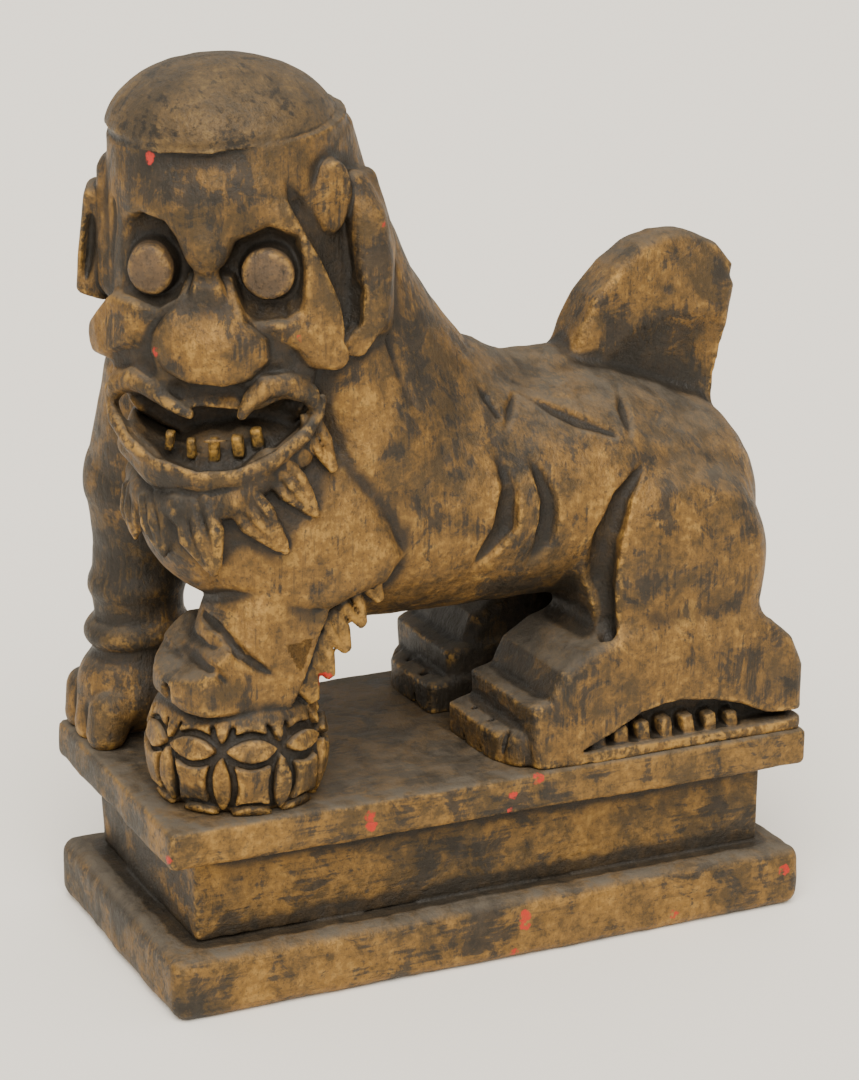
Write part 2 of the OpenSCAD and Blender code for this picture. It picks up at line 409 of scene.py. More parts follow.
def carve(grid, pieces, grooves, wanted, roughness, uneven):
    """Meshes the wanted pieces of one continuous carving.

    roughness and uneven are the heights of its small and broad undulations in mm."""
    everywhere = tuple(slice(0, int(n)) for n in grid.count)
    skin = np.full(grid.count, FAR, np.float32)
    nearest = np.full(grid.count, FAR, np.float32)
    second = np.full(grid.count, FAR, np.float32)
    fields = {}
    for piece in pieces:
        made = piece.field(grid)
        if made is None:
            continue
        window, d = made
        fields[piece.name] = made
        skin[window] = smooth_min(skin[window], d, piece.blend)
        second[window] = np.minimum(second[window], np.maximum(nearest[window], d))
        nearest[window] = np.minimum(nearest[window], d)
    for shape, k in grooves:
        window = grid.window(shape.low - REACH, shape.high + REACH)
        if window is not None:
            s = shape.distance(*grid.places(window)).astype(np.float32)
            skin[window] = smooth_max(skin[window], -s, k)
    skin += uneven * lattice_noise(grid, everywhere, 9.0, 3)
    skin += roughness * lattice_noise(grid, everywhere, (2.2, 2.2, 3.4), 5)
    for axis, place in enumerate(grid.places(everywhere)):
        low, high = cad_bounds[0][axis] / MM + MARGIN, cad_bounds[1][axis] / MM - MARGIN
        skin = np.maximum(skin, np.maximum(low - place, place - high))
    solid = (np.clip(0.5 - skin / (2 * grid.step), 0, 1)).astype(np.float32)
    edge_field = blurred(solid, max(1, round(EDGE_BLUR / grid.step)))
    hollow_field = blurred(solid, max(1, round(HOLLOW_BLUR / grid.step)))
    made = []
    for piece in pieces:
        if piece.name not in wanted or piece.name not in fields:
            continue
        window, own = fields[piece.name]
        others = np.where(own <= nearest[window], second[window], nearest[window])
        border = own - others
        body = np.maximum(skin[window], border)
        tongue = np.maximum(skin[window] + SEAM_DEPTH, border - SEAM_REACH)
        d = np.minimum(body, tongue)
        d = np.pad(d, 1, constant_values=FAR)
        vdb = openvdb.FloatGrid(3.0)
        vdb.copyFromArray(np.ascontiguousarray(d))
        points, triangles, quads = vdb.convertToPolygons(isovalue=0.0, adaptivity=0.0)
        start = grid.first + np.array([w.start for w in window])
        index = points - 1 + np.array([w.start for w in window])
        places = (points - 1 + start) * grid.step
        ob = new_mesh(piece.name + "_carved", places * MM, triangles, quads)
        paint(ob, "edge", sampled(edge_field, index))
        paint(ob, "hollow", sampled(hollow_field, index))
        shading(ob, skin, index)
        made.append((piece, ob))
    return made


def new_mesh(name, places, triangles, quads):
    """A smooth-shaded mesh object at the origin."""
    loops = np.concatenate([triangles.ravel(), quads.ravel()]).astype(np.int32)
    sizes = np.concatenate([np.full(len(triangles), 3), np.full(len(quads), 4)])
    starts = np.concatenate([[0], np.cumsum(sizes)[:-1]]).astype(np.int32)
    mesh = bpy.data.meshes.new(name)
    mesh.vertices.add(len(places))
    mesh.vertices.foreach_set("co", places.astype(np.float32).ravel())
    mesh.loops.add(len(loops))
    mesh.loops.foreach_set("vertex_index", loops)
    mesh.polygons.add(len(sizes))
    mesh.polygons.foreach_set("loop_start", starts)
    mesh.update(calc_edges=True)
    mesh.validate()
    mesh.shade_smooth()
    ob = bpy.data.objects.new(name, mesh)
    bpy.context.scene.collection.objects.link(ob)
    return ob


def paint(ob, name, values):
    """Stores one number per vertex for the materials."""
    attribute = ob.data.attributes.new(name, "FLOAT", "POINT")
    attribute.data.foreach_set("value", np.asarray(values, np.float32))


def shading(ob, skin, index):
    """Shading normals from the slope of the carved skin, so that no line shows where pieces meet."""
    slope = []
    for axis in range(3):
        ahead, behind = index.copy(), index.copy()
        ahead[:, axis] += 0.75
        behind[:, axis] -= 0.75
        slope.append(sampled(skin, ahead) - sampled(skin, behind))
    normals = np.stack(slope, 1)
    normals /= np.maximum(np.linalg.norm(normals, axis=1), 1e-6)[:, None]
    ob.data.normals_split_custom_set_from_vertices(normals.tolist())


def face_slab(outline, back, front, rounding=1.0):
    """An outline seen from the front of the head, (across, z) points, given depth from back to front."""
    flat = slab(outline, back, front, rounding)
    pts = np.array(outline, float)
    return Shape((pts[:, 0].min(), -front, pts[:, 1].min()), (pts[:, 0].max(), -back, pts[:, 1].max()),
                 lambda x, y, z: flat.distance(-y, x, z))


def strands(root, tip, side, width, count=3, bulge=1.0):
    """A carved tuft of hair: rods side by side that run from root to tip and meet at the tip."""
    root, tip = np.array(root, float), np.array(tip, float)
    along = tip - root
    across = np.array(side, float)
    across = across - (across @ along) / (along @ along) * along
    across = across / np.linalg.norm(across)
    out = np.cross(along, across)
    out = out / np.linalg.norm(out)
    if out[0] - out[1] < 0:
        out = -out
    thick = 0.47 * width / count
    made = []
    for i in range(count):
        offset = (i - (count - 1) / 2) * width / count
        lift = bulge * (1 - abs(2 * i / max(count - 1, 1) - 1) * 0.5)
        start = root + across * offset * 0.85
        middle = root + along * 0.45 + across * offset + out * lift
        end = tip + across * offset * 0.30 - along * 0.08 * abs(i - (count - 1) / 2)
        made.append(limb([start, middle, end], [thick, thick, thick * 0.5]))
    return made


# ---- the head

RIM = (0.07, 0.15, 155.6)        # crown plane: rise to the left, rise to the rear, height on the axis
CROWN_R = 20.4                   # radius of the line round the crown, mm
CROWN_GROOVE = 0.95              # half width of that line, mm


def rim_plane(lift=0):
    """Everything below the tilted plane that the crown sits on."""
    n = np.array([-RIM[0], -RIM[1], 1])
    size = np.linalg.norm(n)
    return Shape((-60, -60, 0), (60, 60, 220),
                 lambda x, y, z: (n[0] * x + n[1] * y + z - RIM[2] - lift) / size)


def head():
    p = Piece("head", "body_gilt", 0.8, in_head)
    p.add(drum((0.3, 0.5, 138), (20.4, 20.2), 22, 1.5, (90, 0, 0)))
    p.keep(half_space((0, -1, 0.02), 22.3), 5)
    p.add(brick((-17.4, -0.5, 136.5), (4.8, 5, 12.5), 3.2, (0, 0, 12)), 1.2)
    p.add(egg((0.5, -2, 112), (17.5, 17, 11)), 5)
    p.add(egg((0.5, -7, 109), (15.5, 11, 7)), 3)
    # forehead swelling
    p.add(egg((0.5, -13.5, 143.5), (12.5, 6.6, 6.5)), 4)
    # upper jaw that the lips stand on
    p.add(limb([(-13.5, -11.6, 113), (-6.5, -14, 112)], [3.4, 3.2]), 2)
    p.add(limb([(14, -11.2, 113.2), (7.5, -14.2, 112.2)], [3.4, 3.2]), 2)
    # left temple and cheek in one sweep, and the right cheek
    p.add(limb([(13.6, -14.8, 141), (15.4, -14, 136), (17.4, -12.2, 130), (18.4, -10.8, 125),
                (19.2, -10, 120.6), (21, -10.6, 117.2)], [2.4, 2.8, 3.2, 4, 4, 2.6]), 2.5)
    p.add(limb([(12, -14.6, 123.8), (18.4, -11.4, 119.4)], [2.2, 3.8]), 2)
    p.keep(half_space((0.62, -1, 0), 21.9), 0.8)
    p.add(limb([(-11.6, -15.2, 125), (-15.2, -13.6, 122.6), (-19, -9.8, 119)],
               [2.6, 4.2, 3.6]), 2.5)
    p.add(limb([(-10.6, -15.6, 121.6), (-16.4, -12.6, 119)], [2.2, 3]), 2)
    p.keep(half_space((-0.85, -1, 0.1), 31.2), 0.8)
    # eye sockets
    p.cut(face_slab([(-15.6, 134), (-14.6, 139.6), (-10.2, 141.6), (-6, 140.4), (-2.8, 135.8),
                     (-1.2, 132.6), (-2.4, 128.2), (-7.6, 125.6), (-14.4, 127.4)], 12.6, 26, 3.4), 1.6)
    p.cut(face_slab([(2.2, 132.4), (5.2, 137.2), (11, 139.8), (15.6, 138.2), (16.8, 132.6),
                     (16.2, 127), (13.6, 124), (8.6, 124), (4.8, 127.2)], 12.4, 26, 3.4), 1.6)
    # point of the brow between the eyes, with the crease above the nose
    p.add(egg((0.7, -16.6, 137), (4.1, 4, 5)), 1.4)
    p.cut(limb([(-3.2, -18, 131.4), (0.8, -19.2, 130.7), (4.8, -18, 131.2)], [1, 1.1, 1]), 0.6)
    # valleys beside the nose
    p.cut(limb([(-5.8, -19.8, 126), (-10, -19.4, 120.9), (-10.8, -18.6, 115.8)], [1.3, 2.2, 2.6]), 1)
    p.cut(limb([(9, -20.2, 125), (12.4, -19.6, 119.2), (12.4, -18.4, 115.2)], [1.3, 2.2, 2.6]), 1)
    # muzzle stands back under the nose and cheeks
    p.cut(limb([(-24, -9, 113.6), (-19, -14.2, 114.2), (-12, -18.6, 117.4), (-8.8, -19.4, 119.5)],
               [2.2, 2.6, 2.3, 1.6]), 0.5)
    p.cut(limb([(9.5, -19.8, 117.6), (14, -18.4, 115), (19, -15, 112.4), (24.4, -10.4, 111.6)],
               [1.6, 2.5, 2.5, 2.2]), 0.5)
    p.cut(egg((0.8, -20.8, 111.4), (9.4, 5.2, 3.6)), 1.2)
    # mouth
    p.cut(brick((0.6, -15.5, 105.2), (14.4, 6.4, 3.4), 2.6), 1.2)
    p.cut(egg((12.8, -15.2, 108.2), (4.4, 5.5, 2.1), (0, -18, 0)), 0.8)
    p.cut(egg((-12.5, -15.2, 107.6), (4.8, 5.5, 2.5), (0, 14, 0)), 0.8)
    # hollow beside the right ear
    p.cut(limb([(-17.4, -9.8, 141), (-18.6, -9.4, 134), (-18.8, -9.4, 126)], [1.4, 1.7, 1.4]), 1)
    # rim for the crown
    p.keep(rim_plane(-0.3), 0.7)
    return p


def crown():
    p = Piece("crown", "crown_lacquer", 0.25, in_head)
    p.add(egg((-0.2, 0.2, 152.6), (20.3, 20.1, 13.3)))
    above = rim_plane(-0.8)
    p.keep(Shape(above.low, above.high, lambda x, y, z: -above.distance(x, y, z)), 0.4)
    return p


def crown_groove():
    """The sunk line round the crown."""
    def distance(x, y, z):
        n = (-RIM[0] * x - RIM[1] * y + z - RIM[2])
        around = np.sqrt(x * x + y * y) - CROWN_R
        return np.sqrt(n * n + around * around) - CROWN_GROOVE
    return in_head(Shape((-22, -22, 148), (22, 22, 162), distance))


def ear_hollow():
    """The deep hollow between the left ear and the face."""
    return in_head(limb([(14.6, -14.8, 146.6), (15.8, -13.6, 142.6), (18.6, -12.2, 138), (21.4, -9.4, 133),
                         (22.9, -8, 127.5), (23.2, -8.2, 123), (22.6, -9.8, 119.8)],
                        [0.8, 2, 2.2, 2.5, 2.6, 2, 0.8]))


def marks():
    """Cuts that run across several pieces: behind the left ear and along the treads of the raised paw."""
    behind_ear = in_head(limb([(22.4, 1.8, 146.4), (23.6, 3.8, 143.8), (26.8, 7.6, 139.6)], [0.5, 1.2, 0.9]))
    cuff = limb([(16, -52.4, 70.2), (23.1, -51.9, 69.4), (26.8, -50.9, 67.4), (28.4, -49.4, 65.5),
                 (28.5, -46.5, 63.3), (28.4, -43.7, 61.4)], [0.8, 1.2, 1.3, 1.3, 1.2, 0.5])
    paw = limb([(10, -55.8, 64.6), (17.8, -55.6, 64.2), (23.8, -55.6, 64), (28.2, -54.9, 63.8),
                (28.2, -52.7, 61.5)], [0.8, 1.1, 1.2, 1.2, 0.6])
    return [(behind_ear, 0.5), (cuff, 0.3), (paw, 0.3)]


def left_ear():
    p = Piece("left_ear", "body_gilt", 1.4, in_head)
    p.add(limb([(22.6, -3.6, 145), (25.2, -4.4, 139.5), (26.4, -4.6, 131.5), (26, -5.4, 123.5),
                (24.2, -7.8, 118.4)], [2.6, 3.3, 3.3, 3.1, 2.4]), 2)
    p.add(limb([(23.6, 1.5, 145), (25.6, 1, 134), (25.6, 0, 122)], [2.6, 3.6, 3.4]), 4)
    p.add(drum((19, -6.8, 143.9), (3.4, 6.2), 3, 1.2, (4, 0, 38)), 0.4)
    p.keep(half_space((0.42, -1, 0), 16.9), 1)
    return p


def right_ear():
    p = Piece("right_ear", "body_gilt", 0.6, in_head)
    p.add(brick((-23, 1, 132.8), (2.9, 4.8, 10.6), 2, (6, 6, 12)))
    p.cut(egg((-23.4, -4.8, 132), (1.5, 3, 7), (0, 8, 0)), 0.8)
    p.cut(half_space((0.34, 0, 1), 109.6), 0.5)
    return p


def eye(name, across, up, wide, swivel, bed, bed_radii):
    p = Piece(name, "bright_gilt", 0.5, in_head)
    p.add(drum((across, -12.4, up), (wide, 4.4), 4.2, 1.3, (4, 0, swivel)))
    p.add(egg((across, -12.6, up), (wide - 0.4, 4.6, 4)), 1)
    p.add(egg(bed, bed_radii), 1.5)
    return p


def nose():
    p = Piece("nose", "body_gilt", 0.5, in_head)
    p.add(face_slab([(-3, 131.4), (4.6, 131.4), (6.2, 127), (7.6, 123.8), (11, 121), (11.4, 117.4),
                     (8.4, 114.4), (3.8, 113), (-1.8, 113.4), (-6.4, 115.2), (-9.2, 118),
                     (-9, 121.4), (-6.2, 124.6), (-4.4, 127)], 8, 24, 1.2))
    p.keep(half_space((0, -1, 0.56), 77.7), 1)
    p.keep(half_space((0, -1, -0.16), 2.7), 1.5)
    p.keep(half_space((0.60, -1, 0), 21.4), 2)
    p.keep(half_space((-0.60, -1, 0), 20.2), 2)
    return p


def upper_lip():
    p = Piece("upper_lip", "body_gilt", 0.9, in_head)
    p.add(limb([(-17.4, -11.4, 108.6), (-16.2, -12.8, 111.2), (-12.6, -15.2, 112.9), (-9.2, -17, 111.7),
                (-5.6, -18, 109.2), (-2.4, -18.2, 107.7)], [1.1, 1.6, 1.9, 1.6, 1.1, 0.7]), 1.2)
    p.add(limb([(18, -10.6, 107.6), (17, -12.4, 110.8), (13.8, -15.2, 113),
                (10.4, -17.2, 113), (8.2, -18, 110.8), (6.6, -18.4, 108)],
               [1.1, 1.6, 1.9, 1.9, 1.5, 0.8]), 1.2)
    return p


def lower_jaw():
    p = Piece("lower_jaw", "body_gilt", 0.5, in_head)
    p.add(egg((0.5, -5, 102), (17, 14.2, 9.6)), 1)
    p.add(limb([(-13.5, -12, 100.5), (-8, -15.8, 97.4), (0.5, -17.4, 96), (8, -16.2, 96.8),
                (14.4, -11.6, 100)], [3, 3.6, 3.8, 3.6, 3]), 2.5)
    p.cut(egg((0.5, -9, 106.2), (14.6, 10.9, 5.6)), 0.6)
    rim = [(-18, -10.8, 110), (-17.6, -11.6, 107.6), (-16.5, -13.2, 105), (-12.9, -16.3, 101.8),
           (-7.4, -18.7, 98.9), (-0.3, -20.1, 97.4), (5.8, -20, 97.9), (11.6, -18, 100.4),
           (16.3, -13.8, 103.9), (18.4, -11.2, 107), (18.8, -10.2, 109.6)]
    p.add(limb(rim, [0.9, 1, 1.3, 1.6, 1.7, 1.8, 1.8, 1.6, 1.3, 1, 0.9]), 1.6)
    # the trough between the teeth and the lip
    p.cut(limb([(a * 0.92, b + 0.9, z + 3) for a, b, z in rim[2:-2]],
               [1.8, 2.2, 2.4, 2.6, 2.5, 2.2, 1.8]), 0.5)
    p.cut(limb([(a * 0.80, b + 3.2, z + 3.1) for a, b, z in rim[2:-2]], [2.9] * 7), 0.8)
    return p


def teeth():
    p = Piece("teeth", "bright_gilt", 0.25, in_head)
    for a, b, z, lean in [(-6.6, -15.4, 103.2, 8), (-2.6, -16.4, 102.4, 3), (1.5, -16.7, 102.5, 0),
                          (5.4, -16, 103, -4), (8.4, -14.4, 104.1, -8)]:
        p.add(brick((a, b, z - 0.9), (0.9, 0.9, 2), 0.35, (14, lean, 0)), 0.2)
    return p


def neck_mane():
    p = Piece("neck_mane", "body_gilt", 2)
    p.add(limb([(7.5, -38.5, 150), (6, -35.5, 137), (2.5, -27.5, 115), (0, -13, 98)],
               [17.6, 19.4, 22.6, 22]), 3)
    p.add(limb([(14, -32, 118), (15, -22, 102)], [10, 13]), 5)
    # the cut behind the ear and long locks down the neck
    p.cut(in_head(limb([(21.2, 1.4, 147.6), (22.8, 4, 144), (26.6, 8.2, 139)], [0.7, 1.5, 1.3])), 0.6)
    for points in ([(21.6, -24, 128), (25.4, -18.6, 112), (27.6, -14, 101)],
                   [(19, -17.5, 131), (22.4, -12, 116), (25, -4.5, 103)]):
        p.cut(limb(points, [0.3, 0.8, 0.3]), 0.9)
    p.keep(in_head(rim_plane(-2.4)), 2.2)
    return p


# ---- body and legs

OUTER = 30.6                     # the flat side plane that the block was cut to
FAR_SIDE = half_space((1, 0, 0), OUTER)
FLOOR = Shape((-60, -90, DECK), (60, 90, 200), lambda x, y, z: DECK - z + 0 * x + 0 * y)


def trunk():
    p = Piece("trunk", "body_gilt", 9)
    p.add(limb([(0, -27, 84), (0, 0, 84.2), (0, 24, 84.2), (0, 43.4, 78.6)], [22, 22.4, 22.4, 20.8], 1.27))
    p.add(limb([(0, -6, 100), (0, 24, 103)], [7, 4.5]), 5)
    return p


def rib_grooves():
    """Grooves over ribs, spine and haunch edge, on both flanks."""
    cuts = []
    for side in (as_drawn, mirrored):
        for points, radii, k in (
                ([(24.4, -0.4, 98), (28, 1.8, 90), (28.2, 0.6, 83), (26.4, -4.8, 75)],
                 [0.5, 1.9, 2.3, 0.5], 0.5),
                ([(25.4, 6.6, 96), (28.4, 9.2, 87), (28.4, 8.8, 79), (25.8, 4.8, 70)],
                 [0.5, 1.9, 2.3, 0.5], 0.5),
                ([(26.6, 29.4, 91), (27.8, 24.2, 85.4), (28.2, 21.2, 78.1), (26.8, 20.4, 69.5),
                  (26.8, 21.4, 62), (28.4, 23, 57.4)], [0.5, 1.8, 2.6, 2.9, 2.4, 1], 0.6),
                ([(16.8, 0, 107.8), (18.8, 1.4, 104.9), (20.6, 2.8, 101.7)], [0.5, 1.5, 1.1], 0.4),
                ([(15.8, 8.5, 104.4), (19.8, 5.6, 102.3), (22.2, 3.7, 99.6)], [0.9, 1.6, 0.7], 0.4),
                ([(15.5, 9.6, 104.1), (19.4, 14.6, 101.4), (22.1, 19.6, 99), (23.9, 24.8, 96.7)],
                 [0.8, 1.6, 1.6, 0.8], 0.4),
                ([(14.6, 30.4, 103.4), (19.8, 29, 100.1), (23.7, 28.2, 96.4)], [0.7, 1.5, 0.7], 0.4),
                ([(12.4, 10, 105.4), (17, 17, 103.4), (19, 22.4, 101.9)], [0.5, 1.4, 0.6], 0.4)):
            cuts.append((side(limb(points, radii)), k))
    return cuts


def haunch(name, side):
    p = Piece(name, "body_gilt", 3.5, side)
    p.add(drum((15.6, 37.6, 71.5), (18.4, 17.4), 15, 8, (0, 0, 90)), 2)
    p.add(egg((17.5, 42, 67.5), (14, 16.5, 17)), 5)
    p.add(slab([(22.5, 70), (23.6, 58), (28, 50), (50, 50), (53.5, 60), (52, 74)], 8, 30.8, 5), 4)
    p.keep(FAR_SIDE, 2.5)
    return p


def hind_foot(name, side):
    p = Piece(name, "body_gilt", 4, side)
    shin = [(9.4, 50.2), (11.5, 54.5), (17, 58), (24, 60), (50, 60.5), (56.5, 58.8), (61.2, 54.6), (63.6, 49),
            (64, 35), (12, 35), (9.5, 43)]
    cuff = [(5.4, 48.2), (12, 50), (30, 50.5), (30, 35), (7, 35), (6, 41)]
    toes = [(1, 42.2), (8, 43.6), (25, 44), (25, 35), (1.4, 35)]
    p.add(slab(shin, 5, 31, 2.6))
    p.add(slab(cuff, 4.5, 30.6, 1.8), 0.6)
    p.add(slab(toes, 4, 28.5, 1.6), 0.6)
    p.keep(half_space((0.55, -1, 0), 9.6), 2.5)
    for x in (10.5, 17.5, 24):
        p.cut(limb([(x, 0, 46), (x + 0.5, 4.2, 45), (x + 0.5, 2.2, 37)], [0.6, 0.7, 0.7]), 0.6)
    # hollow under the sole, with the groove that runs on to the rear
    p.cut(slab([(14.5, 38.4), (20, 41), (28, 44.8), (36, 46), (44, 45), (50, 43.2), (55.5, 40.6),
                (67, 39.9), (67, 38.6), (54, 38.5)], 26, 34, 0.4), 0.6)
    # crease between the rump and the heel
    p.cut(limb([(31.5, 50.5, 65), (31.4, 54, 61.6), (27, 57, 60.4)], [0.4, 1.3, 1.2]), 1.5)
    p.keep(FLOOR, 0.3)
    return p


def heel_fringe(name, side):
    """Beads in the hollow under the sole."""
    p = Piece(name, "fringe_gilt", 0.3, side)
    count = 7
    for i in range(count):
        y = 20 + 4.8 * i
        tall = 1.3 + 0.7 * math.sin(math.pi * (i + 1) / (count + 1))
        p.add(brick((27.6, y, 38.2 + tall), (2, 1.25, tall), 0.5, (8, 0, 0)), 0.2)
    p.keep(FLOOR, 0.2)
    return p


def left_shoulder():
    p = Piece("left_shoulder", "body_gilt", 0.9)
    p.add(egg((13, -42, 88.5), (17.6, 19.6, 17.2)))
    p.add(slab([(-33, 106), (-28, 97), (-21.4, 87), (-18.6, 80.2), (-22, 75.2), (-33, 71.6), (-43, 72.6),
                (-50, 78), (-53, 92), (-46, 104)], 8, 30.4, 4.5), 2.5)
    p.keep(half_space((1, -0.30, 0.02), 41), 3)
    p.keep(half_space((1, 0, 0.42), 62.6), 4)
    p.cut(half_space((1, 0, 0), -7), 1)
    return p


def left_foreleg():
    p = Piece("left_foreleg", "body_gilt", 0.5)
    p.add(limb([(17.5, -41, 80), (17.6, -45.4, 60)], [8, 10], 1.25))
    p.add(slab([(-31.5, 76), (-33.6, 70), (-37.4, 62), (-40.8, 53.4), (-50, 52), (-50, 62), (-44, 76)],
               12, 28.4, 1.2), 1.5)
    p.keep(half_space((1, 0, 0), 28.3), 1.2)
    p.keep(Shape((-90, -90, 0), (90, 90, 160),
                 lambda x, y, z: -0.93 * (z - 62.9) - 0.36 * (y + 44.1) + 0 * x), 0.5)
    return p


def left_forepaw():
    p = Piece("left_forepaw", "body_gilt", 0.4)
    p.add(slab([(-56, 63.6), (-51, 67.4), (-35, 68), (-38.5, 55.4), (-52, 57.6), (-55.6, 60.6)],
               4, 28.3, 0.9))
    p.add(slab([(-60.8, 59.8), (-55.4, 63), (-37, 64), (-39.6, 55), (-52, 54.8), (-58.6, 55.2),
                (-61.4, 57.4)], 2.5, 28.2, 1.2), 0.3)
    p.keep(limb([(16.6, -44.6, 78), (16.8, -45.6, 46)], [15, 15.6], 1.06), 1.2)
    p.keep(half_space((1, 0, 0), 28.3), 0.8)
    p.keep(half_space((0, 1, -0.449), -59.5), 0.6)
    p.cut(egg((18.8, -59.6, 58), (1.7, 3.4, 1.5), (20, 0, 0)), 0.5)
    p.cut(limb([(19, -59.8, 57.4), (16.5, -60, 54)], [0.9, 0.8]), 0.5)
    p.cut(limb([(9.4, -59.2, 60.4), (9.8, -59.6, 54)], [0.7, 0.9]), 0.6)
    return p


def foreleg_fringe():
    p = Piece("foreleg_fringe", "fringe_gilt", 0.4)
    p.add(limb([(17, -30, 72), (17, -37.5, 57.5)], [4.2, 3.2], 1.9))
    count = 5
    for i in range(count):
        t = i / (count - 1)
        tip = np.array((25.6, -22.4 - 12.8 * t, 71.4 - 16.6 * t))
        root = tip + (-0.4, -4.2 + 1 * t, 7.6 - 1 * t)
        for rod in strands(root, tip, (0, 1, 0.35), 5.2, 2, 0.5):
            p.add(rod, 0.2)
        for rod in strands(root - (7, -0.8, 1.5), tip - (7, -0.2, 1.5), (0, 1, 0.35), 5.2, 2, 0.5):
            p.add(rod, 0.3)
    return p


def right_foreleg():
    p = Piece("right_foreleg", "body_gilt", 1.2)
    p.add(limb([(-13.5, -43, 101), (-18.5, -49.5, 86), (-20, -50.8, 72), (-20, -51.5, 60), (-20, -52, 52)],
               [17, 12, 8.8, 8.2, 8.2]), 2)
    p.add(egg((-20, -51.3, 66.2), (9.4, 9.4, 5.4), (8, 0, 0)), 0.8)
    p.add(egg((-20, -52, 57.2), (9.8, 10, 4.8), (8, 0, 0)), 0.8)
    p.cut(drum((-20, -51.5, 61.4), (11.5, 11.5), 0.6, 0.4, (98, 0, 0)), 1.2)
    p.add(limb([(-20, -50.6, 74), (-20, -52, 50)], [8.2, 8.4]), 0.5)
    p.keep(half_space((-1, 0, 0), OUTER), 2)
    return p


def right_forepaw():
    p = Piece("right_forepaw", "body_gilt", 1)
    p.add(egg((-20, -52.5, 46), (10.6, 11, 9.5)))
    for x in (-27, -20.2, -13.4):
        p.add(limb([(x, -54, 45.5), (x - 0.2, -59.4, 43.2), (x, -60.6, 39)], [4.2, 4.4, 3.8]), 0.7)
    p.keep(half_space((-1, 0, 0), OUTER), 1)
    p.keep(half_space((0, -1, 0), 64.6), 1)
    p.keep(FLOOR, 0.3)
    return p


BALL = (15.2, -45.6, DECK + 8.4)
BALL_R = 16.6
COINS = 9                        # coins round the ball
GROOVE = 0.62                    # half width of the ball's grooves, mm
COIN_R = math.pi * BALL_R / COINS * math.sqrt(2)


def coin_net(x, y, z):
    """Half width left over from the nearest line of a net of overlapping circles drawn round the ball."""
    x, y, z = x - BALL[0], y - BALL[1], z - BALL[2]
    pitch = COIN_R * math.sqrt(2)
    turn = np.arctan2(x, -y) - math.radians(78)
    radius = np.sqrt(x * x + y * y + z * z)
    u = turn * BALL_R
    height = np.arcsin(np.clip(z / np.maximum(radius, 1e-3), -1, 1)) * BALL_R / 1.16 + 2
    u = (u / pitch + 0.5) % 1 * pitch - pitch / 2
    v = (height / pitch + 0.5) % 1 * pitch - pitch / 2
    best = None
    for cu in (-pitch, 0, pitch):
        for cv in (-pitch, 0, pitch):
            d = np.abs(np.sqrt((u - cu) ** 2 + (v - cv) ** 2) - COIN_R)
            best = d if best is None else np.minimum(best, d)
    cap = np.clip(height - 0.80 * pitch, 0, 3)
    return np.maximum(best - GROOVE + cap, BALL_R - 1.7 - radius)


def brocade_ball():
    p = Piece("brocade_ball", "body_gilt", 0.35)
    p.add(egg(BALL, (BALL_R, BALL_R, BALL_R)))
    r = np.array([BALL_R + 1] * 3)
    p.cut(Shape(np.array(BALL) - r, np.array(BALL) + r, coin_net), 0.5)
    # neck under the paw
    p.cut(drum((BALL[0], BALL[1], BALL[2] + 14.6), (14.5, 14.5), 1.3, 1, (90, 0, 0)), 0.6)
    p.add(drum((BALL[0], BALL[1], BALL[2] + 13), (8, 8), 4, 1, (90, 0, 0)), 0.6)
    p.keep(FLOOR, 0.3)
    return p


def beard():
    p = Piece("beard", "body_gilt", 0.6)
    p.add(limb([(27, -44, 100), (26.5, -50, 93.5), (21, -57, 91.5), (10, -59.5, 91.5), (-2, -56.5, 92)],
               [2, 3.2, 3.6, 3.4, 3]), 1)
    tufts = [((24, -56.6, 93), (26.8, -54, 80.8), (0.7, 0.7, 0), 8.4, 3),
             ((15.5, -61, 92.5), (19.5, -60.4, 83), (0.9, 0.4, 0), 7, 3),
             ((7, -61.5, 92), (9, -61.8, 83.4), (1, 0.1, 0), 7, 3),
             ((-0.5, -58.8, 92), (0, -59, 84.6), (1, -0.3, 0), 6.5, 3),
             ((27.6, -50.6, 95.5), (29.8, -42.2, 84.4), (0.4, 0.8, 0.5), 7, 3),
             ((27.8, -44, 100), (29.8, -36.4, 90), (0.2, 0.8, 0.6), 6.2, 3),
             ((26.4, -36.6, 106.5), (28.6, -32.6, 97), (0.1, 0.9, 0.4), 4.6, 2)]
    for root, tip, side, width, count in tufts:
        for rod in strands(root, tip, side, width, count, 0.9):
            p.add(rod, 0.3)
    p.cut(in_head(egg((0.5, -9, 105.5), (15.4, 11.5, 6.6))), 0.5)
    return p


def tail():
    p = Piece("tail", "body_gilt", 1.6)
    outline = [(25, 105.5), (27, 111.5), (30, 117.4), (34.6, 122.8), (39.6, 126.7), (44.4, 128.6),
               (50.4, 128.4), (56.6, 125.8), (60, 121.6), (59.4, 119.4), (60.2, 117.6), (58.8, 110.6),
               (57.6, 104), (56, 94), (44, 92), (28, 99)]
    p.add(slab(outline, -6.4, 6.4, 2.6))
    p.keep(half_space((1, 0, 0.26), 36.6), 3)
    p.keep(half_space((-1, 0, 0.26), 36.6), 3)
    p.keep(half_space((1, -0.14, 0), 2.4), 2)
    p.keep(half_space((-1, -0.14, 0), 2.4), 2)
    for side in (as_drawn, mirrored):
        p.cut(side(egg((8.4, 47, 102), (5, 18.5, 12.6), (8, 0, 0))), 0.5)
        p.cut(side(limb([(6.6, 30.5, 117), (6.4, 38, 121.4), (6.4, 46, 123)], [0.2, 0.5, 0.2])), 0.5)
    return p


# ---- plinth

def plinth_slab(name, low, high, rounding):
    p = Piece(name, "plinth_gilt", 0.3)
    centre = (np.array(low) + high) / 2
    half = (np.array(high) - low) / 2
    p.add(brick(centre, half, rounding))
    return p


# ---- carving it all

